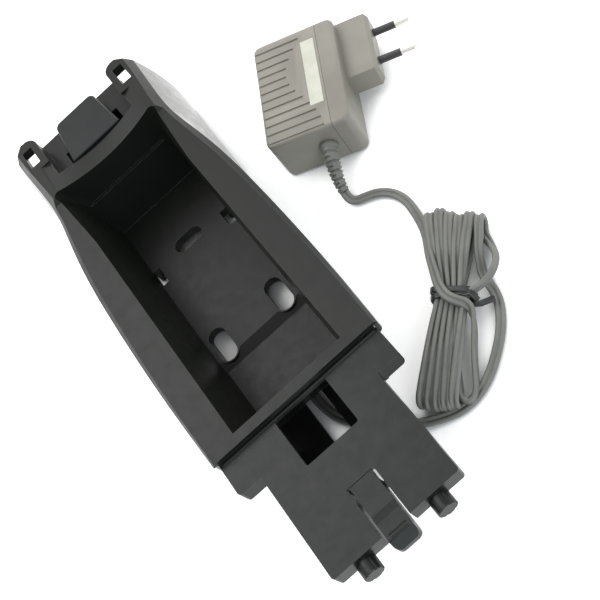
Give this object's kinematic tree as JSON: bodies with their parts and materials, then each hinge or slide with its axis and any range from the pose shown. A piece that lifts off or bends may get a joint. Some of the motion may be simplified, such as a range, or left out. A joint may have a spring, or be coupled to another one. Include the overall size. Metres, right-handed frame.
{
  "type": "wall charging dock with mains adapter",
  "caption": "Wall-mounted charging dock for a cordless appliance: open tray, hook ears, sprung contact head and latch tongue, with a two-pin mains adapter on a tied flat lead.",
  "frame": {"origin": "on the wall plane that the dock's back rests on, under the middle of the dock's length and width", "axes": "+X across the dock to the right, +Y from the latch tongue to the hook ears, +Z out of the wall"},
  "size_m": [0.2079, 0.2944, 0.0611],
  "materials": {
    "housing": "moulded charcoal plastic, fine satin texture",
    "tongue": "moulded charcoal plastic, satin",
    "contact_head": "smooth slate plastic, soft sheen",
    "steel": "plated steel",
    "brass": "stamped brass",
    "wire": "soft insulated wire",
    "board": "printed board",
    "adapter": "moulded mid-grey plastic, satin",
    "pin_metal": "nickel-plated brass",
    "sleeve": "black insulating sleeve",
    "label": "bare silver-white label stock",
    "iron": "laminated or ferrite core",
    "copper": "lacquered winding",
    "capacitor": "sleeved cans",
    "cord": "grey flexible PVC, soft sheen",
    "tie": "black coated wire tie"
  },
  "bodies": {
    "root": {"front_housing": "housing", "rear_shell": "housing", "compartment_cover": "housing", "tongue_plate": "tongue", "contact_pivot_pin": "steel", "contact_spring": "steel", "contact_tabs": "brass", "contact_wires": "wire", "terminal_board": "board", "board_terminals": "steel", "inner_lead": "cord", "cable_gland": "cord", "lead_clips": "housing", "housing_screws": "steel", "tongue_screws": "steel", "cover_screws": "steel", "board_screws": "steel", "adapter_case": "adapter", "adapter_cover": "adapter", "plug_pins": "pin_metal", "pin_sleeves": "sleeve", "adapter_label": "label", "adapter_board": "board", "transformer_core": "iron", "transformer_winding": "copper", "adapter_capacitors": "capacitor", "adapter_wires": "wire", "cord_relief": "cord", "cord_lead": "cord", "cord_feed": "cord", "cord_hank": "cord", "cord_tie": "tie"},
    "contact": {"contact_head": "contact_head", "contact_blades": "brass"},
    "latch": {"latch_finger": "tongue"}
  },
  "joints": [
    {"name": "contact_tilt", "type": "hinge", "parent": "root", "child": "contact", "pos_m": [0, 0.12075, 0.0456], "axis": [-1, 0, 0], "range_deg": [0, 5], "stiffness_Nm_per_rad": 0.05, "springref_deg": -5.73, "deforming": ["contact_spring"]},
    {"name": "latch_press", "type": "hinge", "parent": "root", "child": "latch", "pos_m": [0, -0.11585, 0.0488], "axis": [1, 0, 0], "range_deg": [0, 6], "stiffness_Nm_per_rad": 0.2, "springref_deg": -2.86}
  ]
}
